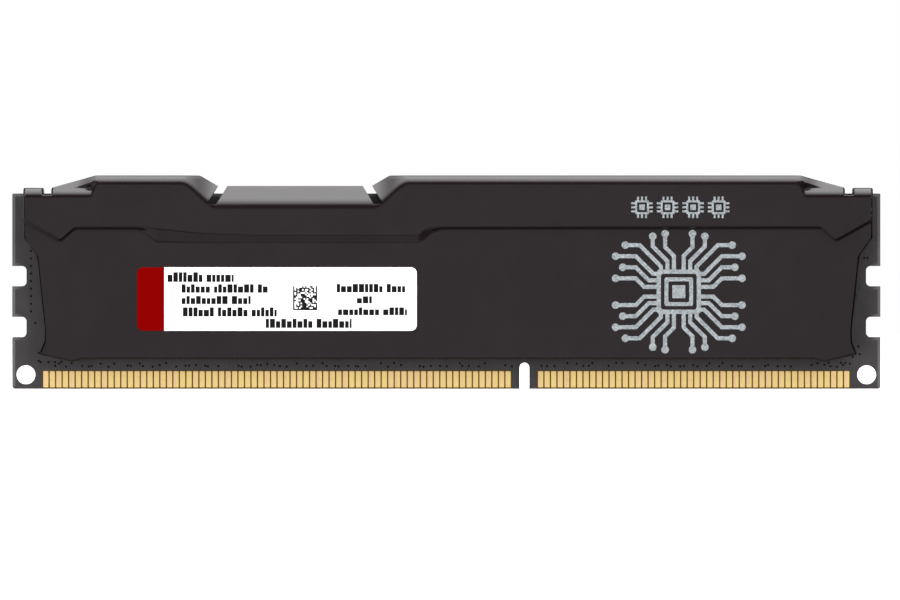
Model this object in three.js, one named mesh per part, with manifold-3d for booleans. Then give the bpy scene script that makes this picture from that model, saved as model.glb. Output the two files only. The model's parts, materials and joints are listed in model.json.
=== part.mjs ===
// A DDR3 memory module: a 240-contact circuit board that carries sixteen memory chips,
// between two stamped aluminium heat spreaders held on by thermal adhesive tape.
// Millimetres, +Z up. The module stands on its contact edge and its labelled face looks along -Y.
// The origin is the middle of the contact edge, halfway through the board.
// A distance is measured out from the board's middle plane. Every side piece is drawn on the
// front, at minus its distance, and the rear side is the front side mirrored in Y.
import * as THREE from 'three';
import { mergeVertices } from 'three/addons/utils/BufferGeometryUtils.js';
import Module from 'manifold-3d';

const wasm = await Module();
wasm.setup();

// ---- Driving dimensions ----

const board = { length: 133.35, height: 30, thickness: 1.27, cornerRadius: 0.3 };
const surface = board.thickness / 2;

const keyNotch = { x: 12, width: 1.5, depth: 4 };
const latchNotch = { depth: 2.2, height: 3.1, cornerRadius: 0.7, heights: [9.5, 17.3] };
const cornerHole = { diameter: 2.9, inset: 2.1, height: 2.15 };

// The contacts of one side, in two groups with the key notch between them.
const contact = { pitch: 1, width: 0.8, height: 2.5, thickness: 0.05, lift: 0.2, webHeight: 0.15 };
const contactGroups = [
  { name: 'long', firstX: -61.5, count: 72 },
  { name: 'short', firstX: 14.5, count: 48 },
];

const chip = { width: 9, height: 10.5, standoff: 0.25, thickness: 1.2, ballMargin: 0.5, z: 15.2 };
const chipColumns = [-51.6, -38.4, -25.2, -12, 12, 25.2, 38.4, 51.6];
const resistorArray = { width: 2, height: 1, thickness: 0.45, z: 6.8 };
const capacitor = { width: 0.8, height: 1.6, thickness: 0.8, z: 15.2 };
const capacitorColumns = [-31.8, -18.6, 18.6, 31.8];
const memoryOfSettings = { width: 3, height: 2, thickness: 0.75, x: 0, z: 12.5 };

const tape = { halfLength: 57, low: 9.4, high: 21 };
// The spreaders are stuck on by hand, a little to the right of the board's middle. Everything
// on them is drawn about their own middle.
const spreaderShift = 0.28;
const sheet = 0.8;
const lowerFace = 3.1;
const upperFace = 3.6;
const chipTop = surface + chip.thickness;

const label = { left: -47.7, right: -4.8, low: 8.9, high: 18.65, cornerRadius: 0.9, thickness: 0.1 };

// The heat spreader's face ends in a fold, above which the sheet leans in at 45 degrees and
// then lies flat over the board. The fold drops along ramps, each a smooth S.
const endFold = 29.9;
const foldRamps = [
  { start: -54.9, end: -53.9, rise: 1.95 },
  { start: -41, end: -35.5, rise: -3.4 },
  { start: -11.5, end: -6, rise: 3.4 },
  { start: 53.9, end: 54.9, rise: -1.95 },
];
const rampSteps = 6;
// The crest is the outer height of the flat flange, as points of [x, z].
const crestLine = [
  [-65.2, 30.85], [-60.9, 30.85], [-54.1, 32.75], [-38.1, 32.75], [-35.4, 31.15],
  [-11.7, 31.15], [-9, 32.75], [54.1, 32.75], [60.9, 30.85], [65.2, 30.85],
];
// The lean is narrow over the module's ends, where the wall above it is set back.
const endLean = 0.95;
const middleLean = 2.75;
const endLeanFrom = 50;
const crestBend = 1.1;
// The two spreaders stop short of the board's middle plane, so a seam runs along the top.
const seam = 0.15;

// The raised upper band meets the recessed lower panel along a step, as points of [x, z, rise].
// The step is steep but for the middle stretch, where it opens into a wide facet.
const stepLine = [
  [-65.2, 25.55, 0.6], [-59.5, 22.55, 0.3], [-57.3, 24.5, 0.25], [-47.9, 24.5, 0.25],
  [-46.5, 24.05, 0.7], [-44.8, 22.5, 2.1], [-38, 22.5, 1.3], [-30, 22.5, 1], [-4.4, 22.5, 1],
  [-3.6, 23, 1.4], [-2.8, 23.85, 0.85], [-1, 24.5, 0.3], [57.2, 24.6, 0.25], [59.5, 22.6, 0.25],
  [65.2, 25.75, 0.3],
];

// Half of the spreader's outline below its flanges, from the side edge down to the bottom edge.
const sideOutline = [
  [65.2, 23.2], [63.2, 20.5], [62, 9.4], [62, 7.2], [62.8, 5.3], [57.7, 4.1], [56.1, 4.55],
];
const tabGap = { inner: 60.9, outer: 62.1, low: 29.75 };
// The two slanted slots beside the middle flange lie mirrored about its centre.
const flangeSlots = { centre: -23.5, low: 28.3, innerLow: 12.1, outerLow: 13.55, slant: 0.6 };
const clearance = 10;

const colours = {
  boardLacquer: { color: 0x2b2b2b, roughness: 0.45, metalness: 0 },
  gold: { color: 0xe3c078, roughness: 0.3, metalness: 1 },
  chipMoulding: { color: 0x1c1c1e, roughness: 0.6, metalness: 0 },
  resistorGlaze: { color: 0x101012, roughness: 0.35, metalness: 0 },
  capacitorCeramic: { color: 0x8a6a4c, roughness: 0.5, metalness: 0 },
  anodisedAluminium: { color: 0x332e30, roughness: 0.42, metalness: 0.6 },
  adhesive: { color: 0x9a9a96, roughness: 0.8, metalness: 0 },
  paper: { color: 0xf4f4f2, roughness: 0.5, metalness: 0 },
};

// ---- Solids and outlines ----

// A manifold solid from a geometry, without the triangles that have no area.
function solidFrom(geometry) {
  const bare = geometry.clone();
  bare.deleteAttribute('normal');
  bare.deleteAttribute('uv');
  const merged = mergeVertices(bare, 1e-3);
  const corners = merged.index.array;
  const triVerts = [];
  for (let i = 0; i < corners.length; i += 3) {
    const [a, b, c] = corners.slice(i, i + 3);
    if (a !== b && b !== c && c !== a) triVerts.push(a, b, c);
  }
  const vertProperties = merged.attributes.position.array;
  const mesh = new wasm.Mesh({ numProp: 3, vertProperties, triVerts: new Uint32Array(triVerts) });
  return new wasm.Manifold(mesh);
}

function geometryFrom(solid) {
  const mesh = solid.getMesh();
  const indexed = new THREE.BufferGeometry();
  indexed.setAttribute('position', new THREE.BufferAttribute(mesh.vertProperties, 3));
  indexed.setIndex(new THREE.BufferAttribute(mesh.triVerts, 1));
  const geometry = indexed.toNonIndexed();
  geometry.computeVertexNormals();
  return geometry;
}

// An outline in X and Z made solid between a near and a far distance.
function extrude(shape, near, far, curveSegments = 4) {
  const depth = far - near;
  const geometry = new THREE.ExtrudeGeometry(shape, { depth, bevelEnabled: false, curveSegments });
  geometry.rotateX(Math.PI / 2);
  geometry.translate(0, -near, 0);
  return geometry;
}

// A rectangular block between a near and a far distance, about the line x = 0, z = 0.
function slab(width, height, near, far) {
  const geometry = new THREE.BoxGeometry(width, far - near, height);
  geometry.translate(0, -(near + far) / 2, 0);
  return geometry;
}

function polygon(points) {
  return new THREE.Shape(points.map(([x, z]) => new THREE.Vector2(x, z)));
}

function roundedRectangle(left, right, low, high, radius) {
  const quarter = Math.PI / 2;
  const shape = new THREE.Shape();
  shape.absarc(right - radius, low + radius, radius, -quarter, 0);
  shape.absarc(right - radius, high - radius, radius, 0, quarter);
  shape.absarc(left + radius, high - radius, radius, quarter, 2 * quarter);
  shape.absarc(left + radius, low + radius, radius, 2 * quarter, 3 * quarter);
  shape.closePath();
  return shape;
}

// The value at x on a line through points of [x, value, ...], taken from the given column.
function along(line, x, column = 1) {
  const next = Math.max(line.findIndex((point) => point[0] >= x), 1);
  const [from, to] = [line[next - 1], line[next]];
  return THREE.MathUtils.mapLinear(x, from[0], to[0], from[column], to[column]);
}

// Skins sections of bent sheet, one at each station along X, into a solid. A section is a list of
// [distance, height] up the sheet's outside and back down its inside, with as many points on each.
function loft(stations, sectionAt) {
  const rings = stations.map(sectionAt);
  const size = rings[0].length;
  const last = (rings.length - 1) * size;
  const positions = rings.flatMap((ring, i) => ring.flatMap(([distance, z]) => [stations[i], -distance, z]));
  const triangles = [];
  const addQuad = (a, b, c, d) => triangles.push(a, b, c, a, c, d);
  for (let start = 0; start < last; start += size) {
    for (let j = 0; j < size; j++) {
      const next = (j + 1) % size;
      addQuad(start + j, start + size + j, start + size + next, start + next);
    }
  }
  for (let j = 0; j < size / 2 - 1; j++) {
    const facing = size - 1 - j;
    addQuad(j, j + 1, facing - 1, facing);
    addQuad(last + j, last + facing, last + facing - 1, last + j + 1);
  }
  const geometry = new THREE.BufferGeometry();
  geometry.setAttribute('position', new THREE.Float32BufferAttribute(positions, 3));
  geometry.setIndex(triangles);
  return solidFrom(geometry);
}

function piece(name, geometry, colour, x = 0, z = 0) {
  const mesh = new THREE.Mesh(geometry, new THREE.MeshStandardMaterial(colour));
  mesh.name = name;
  mesh.position.set(x, 0, z);
  return mesh;
}

// ---- Circuit board ----

function circuitBoard() {
  const half = board.length / 2;
  const outline = roundedRectangle(-half, half, 0, board.height, board.cornerRadius);
  for (const side of [-1, 1]) {
    const hole = new THREE.Path();
    const centre = side * (half - cornerHole.inset);
    hole.absarc(centre, cornerHole.height, cornerHole.diameter / 2, 0, 2 * Math.PI, true);
    outline.holes.push(hole);
  }
  let solid = solidFrom(extrude(outline, -surface, surface, 12));
  for (const notch of [keySlot(), ...latchSlots(-half), ...latchSlots(half)]) {
    solid = solid.subtract(solidFrom(extrude(notch, -surface - 1, surface + 1, 5)));
  }
  return piece('pcb_board', geometryFrom(solid), colours.boardLacquer);
}

function keySlot() {
  const { x, width, depth } = keyNotch;
  return roundedRectangle(x - width / 2, x + width / 2, -width, depth, width / 2 - 0.01);
}

function latchSlots(edge) {
  const { depth, height, cornerRadius } = latchNotch;
  return latchNotch.heights.map((z) => (
    roundedRectangle(edge - depth, edge + depth, z - height / 2, z + height / 2, cornerRadius)
  ));
}

// ---- Contacts ----

// The gold contacts of one group, joined along their tops by a narrow strip of the same foil.
function contactComb({ firstX, count }) {
  const low = contact.lift;
  const high = low + contact.height;
  const web = high - contact.webHeight;
  const points = [];
  for (let i = 0; i < count; i++) {
    const left = firstX + i * contact.pitch - contact.width / 2;
    const right = left + contact.width;
    const leftTop = i === 0 ? high : web;
    const rightTop = i === count - 1 ? high : web;
    points.push([left, leftTop], [left, low], [right, low], [right, rightTop]);
  }
  return extrude(polygon(points), surface, surface + contact.thickness);
}

// ---- Chips and small parts ----

// A memory chip: a moulded body that stands on a slightly smaller field of solder balls.
function memoryChip() {
  const { width, height, standoff, ballMargin } = chip;
  const body = solidFrom(slab(width, height, surface + standoff, chipTop));
  const balls = solidFrom(slab(width - 2 * ballMargin, height - 2 * ballMargin, surface, chipTop - standoff));
  return geometryFrom(body.add(balls));
}

function mountedOnBoard({ width, height, thickness }) {
  return slab(width, height, surface, surface + thickness);
}

// One piece at each column along the board, numbered from the left.
function row(name, geometry, colour, columns, z) {
  return columns.map((x, i) => piece(`${name}_${i + 1}`, geometry, colour, x, z));
}

// ---- Heat spreader ----

function foldHeight(x) {
  return foldRamps.reduce(
    (height, { start, end, rise }) => height + rise * THREE.MathUtils.smoothstep(x, start, end),
    endFold,
  );
}

// The section of the bent sheet at x, as [distance, height] up its outside and down its inside.
function spreaderSection(x) {
  const fold = foldHeight(x);
  const crest = along(crestLine, x);
  const step = along(stepLine, x);
  const stepTop = step + along(stepLine, x, 2);
  const lean = Math.min(crest - fold, Math.abs(x) > endLeanFrom ? endLean : middleLean);
  const wall = upperFace - lean;
  const bend = Math.min(crestBend, crest - fold - lean);

  // Inside, each 45-degree corner sits lower by this much, which keeps the sheet's thickness.
  const mitre = sheet * (Math.SQRT2 - 1);
  const ceiling = crest - sheet;
  const leanTop = Math.min(fold + lean - mitre, ceiling);
  const innerWall = Math.max(upperFace - sheet - (leanTop - fold + mitre), seam);
  const bendFoot = Math.min(Math.max(crest - bend - mitre, leanTop), ceiling);
  const innerFlange = Math.max(innerWall - (ceiling - bendFoot), seam);

  const outside = [
    [lowerFace, 0], [lowerFace, step], [upperFace, stepTop], [upperFace, fold],
    [wall, fold + lean], [wall, crest - bend], [wall - bend, crest], [seam, crest],
  ];
  const innerBand = upperFace - sheet;
  const innerPanel = lowerFace - sheet;
  const inside = [
    [seam, ceiling], [innerFlange, ceiling], [innerWall, bendFoot], [innerWall, leanTop],
    [innerBand, fold - mitre], [innerBand, stepTop], [innerPanel, step], [innerPanel, 0],
  ];
  return [...outside, ...inside];
}

// The stations are the corners of every line that shapes the sheet, and steps along each ramp.
function spreaderStations() {
  const ramps = foldRamps.flatMap(({ start, end }) => (
    Array.from({ length: rampSteps + 1 }, (_, i) => start + ((end - start) * i) / rampSteps)
  ));
  const corners = [...crestLine, ...stepLine].map((point) => point[0]);
  return [...new Set([...ramps, ...corners])].sort((a, b) => a - b);
}

function spreaderOutline() {
  const top = board.height + clearance;
  const right = [[sideOutline[0][0], top], ...sideOutline];
  const left = right.map(([x, z]) => [-x, z]).reverse();
  return polygon([...left, ...right]);
}

// The gaps beside the corner tabs and the slanted slots beside the middle flange.
function spreaderCuts() {
  const top = board.height + clearance;
  const { centre, low, innerLow, outerLow, slant } = flangeSlots;
  const reach = slant * (top - low);
  return [-1, 1].flatMap((side) => [
    polygon([
      [side * tabGap.inner, tabGap.low], [side * tabGap.outer, tabGap.low],
      [side * tabGap.outer, top], [side * tabGap.inner, top],
    ]),
    polygon([
      [centre + side * innerLow, low], [centre + side * outerLow, low],
      [centre + side * (outerLow - reach), top], [centre + side * (innerLow - reach), top],
    ]),
  ]);
}

function heatSpreader() {
  const depth = upperFace + clearance;
  let solid = loft(spreaderStations(), spreaderSection);
  solid = solid.intersect(solidFrom(extrude(spreaderOutline(), -clearance, depth)));
  for (const cut of spreaderCuts()) {
    solid = solid.subtract(solidFrom(extrude(cut, -clearance, depth)));
  }
  return geometryFrom(solid);
}

function thermalTape() {
  const geometry = slab(2 * tape.halfLength, tape.high - tape.low, chipTop, lowerFace - sheet);
  geometry.translate(0, 0, (tape.low + tape.high) / 2);
  return geometry;
}

function stickyLabel() {
  const { left, right, low, high, cornerRadius, thickness } = label;
  const outline = roundedRectangle(left, right, low, high, cornerRadius);
  return extrude(outline, lowerFace, lowerFace + thickness);
}

// ---- Assembly ----

// Everything that both sides of the board carry, drawn on the front.
function sideAssembly(side) {
  const group = new THREE.Group();
  for (const contacts of contactGroups) {
    group.add(piece(`contacts_${side}_${contacts.name}`, contactComb(contacts), colours.gold));
  }
  const { chipMoulding, resistorGlaze, capacitorCeramic } = colours;
  group.add(...row(`dram_${side}`, memoryChip(), chipMoulding, chipColumns, chip.z));
  group.add(...row(
    `resistor_array_${side}`, mountedOnBoard(resistorArray), resistorGlaze, chipColumns, resistorArray.z,
  ));
  group.add(...row(
    `capacitor_${side}`, mountedOnBoard(capacitor), capacitorCeramic, capacitorColumns, capacitor.z,
  ));
  group.add(piece(`${side}_thermal_tape`, thermalTape(), colours.adhesive, spreaderShift));
  group.add(piece(`${side}_heat_spreader`, heatSpreader(), colours.anodisedAluminium, spreaderShift));
  return group;
}

const front = sideAssembly('front');
const { x: settingsX, z: settingsZ } = memoryOfSettings;
front.add(piece('spd_eeprom', mountedOnBoard(memoryOfSettings), colours.chipMoulding, settingsX, settingsZ));
front.add(piece('label', stickyLabel(), colours.paper, spreaderShift));

const rear = sideAssembly('rear');
rear.scale.y = -1;

const memoryModule = new THREE.Group();
memoryModule.add(circuitBoard(), front, rear);

export default memoryModule;
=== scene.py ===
import json
import math
import random

import bmesh
import bpy
import numpy as np
from mathutils import Euler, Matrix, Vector
from mathutils.geometry import tessellate_polygon

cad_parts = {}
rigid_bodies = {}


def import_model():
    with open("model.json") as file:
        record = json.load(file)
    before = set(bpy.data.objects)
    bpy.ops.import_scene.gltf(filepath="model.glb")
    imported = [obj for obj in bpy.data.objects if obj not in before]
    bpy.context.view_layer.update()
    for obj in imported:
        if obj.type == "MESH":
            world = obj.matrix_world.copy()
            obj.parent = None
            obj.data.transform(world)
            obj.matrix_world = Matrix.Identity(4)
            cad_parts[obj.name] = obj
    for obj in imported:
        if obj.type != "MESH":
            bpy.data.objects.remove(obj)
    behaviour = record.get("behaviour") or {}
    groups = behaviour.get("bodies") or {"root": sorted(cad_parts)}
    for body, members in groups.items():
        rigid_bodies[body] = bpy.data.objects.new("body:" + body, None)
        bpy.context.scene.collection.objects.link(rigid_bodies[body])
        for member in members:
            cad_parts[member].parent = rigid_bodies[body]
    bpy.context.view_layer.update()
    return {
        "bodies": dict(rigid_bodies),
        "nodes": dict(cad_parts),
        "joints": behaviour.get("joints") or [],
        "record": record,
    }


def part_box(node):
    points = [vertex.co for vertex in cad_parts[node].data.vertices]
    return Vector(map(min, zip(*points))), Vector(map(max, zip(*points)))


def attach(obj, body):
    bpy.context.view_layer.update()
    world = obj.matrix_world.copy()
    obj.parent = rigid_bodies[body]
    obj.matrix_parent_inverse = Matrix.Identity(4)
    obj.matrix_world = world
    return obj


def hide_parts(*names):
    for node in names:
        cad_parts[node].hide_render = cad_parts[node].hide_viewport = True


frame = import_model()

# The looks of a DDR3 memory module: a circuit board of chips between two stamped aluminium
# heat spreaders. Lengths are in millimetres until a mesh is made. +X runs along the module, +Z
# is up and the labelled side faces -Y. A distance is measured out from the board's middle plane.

MM = 0.001
FRONT, REAR = -1, 1
SIDES = {"front": FRONT, "rear": REAR}
rng = random.Random(240)


def box_of(node):
    """The lowest and highest corner of a CAD node, in millimetres."""
    low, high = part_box(node)
    return Vector(low) / MM, Vector(high) / MM


# ---- Driving dimensions, as in the CAD model ----

BOARD_HIGH = box_of("pcb_board")[1]
HALF_LENGTH = BOARD_HIGH.x
BOARD_HEIGHT = BOARD_HIGH.z
SURFACE = BOARD_HIGH.y
BOARD_CORNER = 0.4
BOARD_TOP_CORNER = 0.15
KEY_NOTCH = {"x": 12, "width": 1.5, "depth": 4}
LATCH_NOTCH = {"depth": 2.2, "height": 3.1, "corner": 0.7, "heights": (9.5, 17.3)}
CORNER_HOLE = {"radius": 1.45, "inset": 2.1, "height": 2.15}

CONTACT_PITCH = 1
CONTACT_WIDTH = 0.8
CONTACT_LOW, CONTACT_HIGH = 0.2, 2.7
CONTACT_THICKNESS = 0.05
CONTACT_GROUPS = {"long": (-61.5, 72), "short": (14.5, 48)}

SHEET = 0.8
LOWER_FACE = 3.1
UPPER_FACE = 3.6
SEAM = 0.15
END_FOLD = 29.9
# The spreaders are stuck on by hand, a little to the right of the board's middle. What is on
# them is measured from their own middle.
SPREADER_LOW, SPREADER_HIGH = box_of("front_heat_spreader")
SPREADER_MIDDLE = (SPREADER_LOW.x + SPREADER_HIGH.x) / 2
FOLD_RAMPS = [(-54.9, -53.9, 1.95), (-41, -35.5, -3.4), (-11.5, -6, 3.4), (53.9, 54.9, -1.95)]
CREST_LINE = [
    (-65.2, 30.85), (-60.9, 30.85), (-54.1, 32.75), (-38.1, 32.75), (-35.4, 31.15),
    (-11.7, 31.15), (-9, 32.75), (54.1, 32.75), (60.9, 30.85), (65.2, 30.85),
]
SPREADER_END = CREST_LINE[-1][0]
# The step's foot and its rise, as points of (x, z, rise).
STEP_LINE = [
    (-65.2, 25.55, 0.6), (-59.5, 22.55, 0.3), (-57.3, 24.5, 0.25), (-47.9, 24.5, 0.25),
    (-46.5, 24.05, 0.7), (-44.8, 22.5, 2.1), (-38, 22.5, 1.3), (-30, 22.5, 1), (-4.4, 22.5, 1),
    (-3.6, 23, 1.4), (-2.8, 23.85, 0.85), (-1, 24.5, 0.3), (57.2, 24.6, 0.25), (59.5, 22.6, 0.25),
    (65.2, 25.75, 0.3),
]
END_BAND = 0.95
# The plate's half width at each height, and its lowest edge at each distance from the middle.
SIDE_EDGE = [(4, 62.8), (5.3, 62.8), (7.2, 62), (9.4, 62), (20.5, 63.2), (23.2, 65.2), (40, 65.2)]
BOTTOM_EDGE = [(0, 4.55), (56.1, 4.55), (57.7, 4.1), (62.8, 5.3), (65.2, 5.3)]
TAB_GAP = {"inner": 60.9, "outer": 62.1, "low": 29.75}
FLANGE_SLOTS = {"centre": -23.5, "low": 28.3, "inner": 12.1, "outer": 13.55, "slant": 0.6}

# ---- Meshes ----


class Shape:
    """Closed pieces of geometry, collected into one mesh. Each has a material and a value."""

    def __init__(self):
        self.vertices = []
        self.faces = []
        self.materials = []
        self.values = []

    def add(self, vertices, faces, material=0, values=0.0):
        start = len(self.vertices)
        self.vertices += [tuple(vertex) for vertex in vertices]
        self.faces += [tuple(start + corner for corner in face) for face in faces]
        self.materials += [material] * len(faces)
        self.values += [values] * len(vertices) if np.isscalar(values) else list(values)

    def mesh(self, name, materials, sharp=30):
        """The mesh, with an edge kept crisp where its faces meet at more than the sharp angle."""
        mesh = bpy.data.meshes.new(name)
        mesh.from_pydata([Vector(vertex) * MM for vertex in self.vertices], [], self.faces)
        for material in materials:
            mesh.materials.append(material)
        mesh.polygons.foreach_set("material_index", self.materials)
        mesh.polygons.foreach_set("use_smooth", [True] * len(mesh.polygons))
        attribute = mesh.attributes.new("shade_value", "FLOAT", "POINT")
        attribute.data.foreach_set("value", self.values)
        work = bmesh.new()
        work.from_mesh(mesh)
        unused = [corner for corner in work.verts if not corner.link_faces]
        bmesh.ops.delete(work, geom=unused, context="VERTS")
        bmesh.ops.recalc_face_normals(work, faces=work.faces)
        work.to_mesh(mesh)
        work.free()
        mesh.set_sharp_from_angle(angle=math.radians(sharp))
        return mesh


def add_object(name, data):
    thing = bpy.data.objects.new(name, data)
    bpy.context.scene.collection.objects.link(thing)
    return thing


def place(name, mesh, replaces=(), at=(0, 0, 0)):
    """Puts a mesh into the scene as a piece that rides on the module."""
    piece = add_object(name, mesh)
    piece.location = Vector(at) * MM
    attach(piece, "root")
    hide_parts(*replaces)
    return piece


def round_edges(piece, width):
    """Rounds a piece's sharp edges by the width, or less where their value is less than 1."""
    work = bmesh.new()
    work.from_mesh(piece.data)
    weight = work.edges.layers.float.new("bevel_weight_edge")
    value = work.verts.layers.float["shade_value"]
    for edge in work.edges:
        if edge.calc_face_angle() > math.radians(50):
            edge[weight] = min(corner[value] for corner in edge.verts)
    work.to_mesh(piece.data)
    work.free()
    bevel = piece.modifiers.new("round_edges", "BEVEL")
    bevel.width = width * MM
    bevel.segments = 3
    bevel.limit_method = "WEIGHT"
    bevel.use_clamp_overlap = False
    piece.modifiers.new("flat_faces", "WEIGHTED_NORMAL")


def arc(x, z, radius, start, end, steps=8):
    """Points round part of a circle, with the angles in degrees."""
    angles = np.radians(np.linspace(start, end, steps + 1))
    return [(x + radius * math.cos(a), z + radius * math.sin(a)) for a in angles]


def circle(x, z, radius, steps=24):
    return arc(x, z, radius, 0, 360, steps)[:-1]


def rounded_rectangle(left, right, low, high, radius, steps=4):
    return [
        *arc(right - radius, low + radius, radius, -90, 0, steps),
        *arc(right - radius, high - radius, radius, 0, 90, steps),
        *arc(left + radius, high - radius, radius, 90, 180, steps),
        *arc(left + radius, low + radius, radius, 180, 270, steps),
    ]


def left_of(ahead):
    """The unit vector to the left of each direction."""
    ahead = ahead / np.linalg.norm(ahead, axis=1)[:, None]
    return np.stack([-ahead[:, 1], ahead[:, 0]], 1)


def mitre(before, after):
    """How each corner moves when the lines before and after it move to their left by 1."""
    return (before + after) / (1 + (before * after).sum(1))[:, None]


def inset(loop, amount):
    """A closed loop moved towards its left, which is inwards when it runs anticlockwise."""
    points = np.array(loop, float)
    normal = left_of(np.roll(points, -1, 0) - points)
    return points + amount * mitre(np.roll(normal, 1, 0), normal)


def stacked(levels, side):
    """A solid skinned over levels of (loops, distance) that match point for point. The first loop
    of a level runs anticlockwise in X and Z, and the others are holes that run clockwise."""
    loops = levels[0][0]
    starts = [sum(len(loop) for loop in loops[:i]) for i in range(len(loops))]
    size = sum(len(loop) for loop in loops)
    vertices = [
        (x, side * distance, z) for loops, distance in levels for loop in loops for x, z in loop
    ]
    faces = []
    for level in range(len(levels) - 1):
        for start, loop in zip(starts, loops):
            for i in range(len(loop)):
                a = level * size + start + i
                b = level * size + start + (i + 1) % len(loop)
                faces.append((a, b, b + size, a + size))
    for level in (0, len(levels) - 1):
        flat = [[Vector((x, z, 0)) for x, z in loop] for loop in levels[level][0]]
        ends = tessellate_polygon(flat)
        faces += [tuple(level * size + corner for corner in face) for face in ends]
    return vertices, faces


def layered(loops, rings, side):
    """A solid from outlines, with each of its rings as (inset, distance)."""
    levels = [([inset(loop, amount) for loop in loops], distance) for amount, distance in rings]
    return stacked(levels, side)


def slab(loop, near, far, side, edge=0.0):
    """A flat solid on one side of the board, with its outer edge chamfered."""
    rings = [(0, near), (0, far - edge), (edge, far)] if edge else [(0, near), (0, far)]
    return layered([loop], rings, side)


def stroke(points, width):
    """The outline of a line of constant width, with square ends and mitred corners."""
    line = np.array(points, float)
    normal = left_of(np.diff(line, axis=0))
    corners = mitre(np.vstack([normal[:1], normal]), np.vstack([normal, normal[-1:]]))
    right = line - corners * width / 2
    left = line + corners * width / 2
    return [*right, *left[::-1]]


# ---- Materials ----


def linear(red, green, blue):
    """A linear colour from sRGB values out of 255."""
    values = [value / 255 for value in (red, green, blue)]
    return (*[v / 12.92 if v <= 0.04045 else ((v + 0.055) / 1.055) ** 2.4 for v in values], 1)


def add_node(tree, kind, inputs=None, **settings):
    """A new node with its settings, and with each input linked to a socket or set to a value."""
    node = tree.nodes.new("ShaderNode" + kind)
    for name, value in settings.items():
        setattr(node, name, value)
    for name, value in (inputs or {}).items():
        if isinstance(value, bpy.types.NodeSocket):
            tree.links.new(value, node.inputs[name])
        else:
            node.inputs[name].default_value = value
    return node


class Surface:
    """A node material round one Principled shader. Uniform values sit on the shader's sockets."""

    def __init__(self, name, **values):
        self.material = bpy.data.materials.new(name)
        self.material.use_nodes = True
        self.tree = self.material.node_tree
        self.shader = self.tree.nodes["Principled BSDF"]
        for socket, value in values.items():
            self.shader.inputs[socket.replace("_", " ")].default_value = value
        place_of = self.node("TexCoord").outputs["Object"]
        inputs = {0: place_of, "Scale": 1 / MM}
        self.place = self.node("VectorMath", inputs, operation="SCALE").outputs[0]

    def node(self, kind, inputs=None, **settings):
        return add_node(self.tree, kind, inputs, **settings)

    def noise(self, scale, detail=2.0, stretch=(1, 1, 1)):
        """Noise whose scale is in cells to the millimetre."""
        inputs = {0: self.place, 1: stretch}
        stretched = self.node("VectorMath", inputs, operation="MULTIPLY").outputs[0]
        inputs = {"Vector": stretched, "Scale": scale, "Detail": detail}
        return self.node("TexNoise", inputs).outputs["Fac"]

    def cells(self, scale):
        inputs = {"Vector": self.place, "Scale": scale}
        return self.node("TexVoronoi", inputs).outputs["Color"]

    def value(self):
        return self.node("Attribute", attribute_name="shade_value").outputs["Fac"]

    def axis(self, name):
        return self.node("SeparateXYZ", {0: self.place}).outputs[name]

    def math(self, operation, first, second=0.0):
        return self.node("Math", {0: first, 1: second}, operation=operation).outputs[0]

    def span(self, value, low, high, to_low=0.0, to_high=1.0):
        """The value, carried from one range to another and held at its ends."""
        limits = {"From Min": low, "From Max": high, "To Min": to_low, "To Max": to_high}
        return self.node("MapRange", {"Value": value, **limits}).outputs["Result"]

    def spread(self, noise, low=0.0, high=1.0):
        """Noise, most of which lies between 0.3 and 0.7, carried to a range of its own."""
        return self.span(noise, 0.3, 0.7, low, high)

    def mix(self, share, *colours):
        """A mix of two colours, each a socket or sRGB values out of 255."""
        inputs = {0: share}
        for index, colour in zip((6, 7), colours):
            is_socket = isinstance(colour, bpy.types.NodeSocket)
            inputs[index] = colour if is_socket else linear(*colour)
        return self.node("Mix", inputs, data_type="RGBA").outputs[2]

    def bump(self, height, depth, before=None):
        """A bump whose depth is in millimetres."""
        inputs = {"Height": height, "Distance": depth * MM, "Strength": 1.0}
        if before is not None:
            inputs["Normal"] = before
        return self.node("Bump", inputs).outputs["Normal"]

    def finish(self, colour, roughness, normal=None):
        sockets = {"Base Color": colour, "Roughness": roughness, "Normal": normal}
        for socket, value in sockets.items():
            if value is not None:
                self.tree.links.new(value, self.shader.inputs[socket])
        return self.material

    def grained(self, dark, light, grain, patches, low, high):
        """The material with only a grain in its colour and patches in its roughness."""
        colour = self.mix(self.noise(*grain), dark, light)
        return self.finish(colour, self.spread(self.noise(patches), low, high))


def anodised_aluminium():
    surface = Surface("anodised_aluminium", IOR=1.5)
    mottle = surface.span(surface.noise(0.09, 3), 0.35, 0.65)
    grain = surface.noise(9, 2)
    dye = surface.mix(mottle, (17, 9, 11), (20, 12, 14))
    speck = surface.spread(grain, 0.0, 0.02)
    dyed = surface.mix(speck, dye, (120, 112, 112))
    scuffs = surface.span(surface.noise(1.6, 4), 0.55, 0.8, 0.0, 0.14)
    worn = surface.math("MULTIPLY", surface.value(), scuffs)
    colour = surface.mix(worn, dyed, (112, 110, 112))
    uneven = surface.math("ADD", grain, surface.noise(0.3, 2))
    roughness = surface.span(uneven, 0.6, 1.4, 0.17, 0.25)
    normal = surface.bump(grain, 0.002, surface.bump(surface.noise(0.5, 2), 0.003))
    return surface.finish(colour, roughness, normal)


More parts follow.
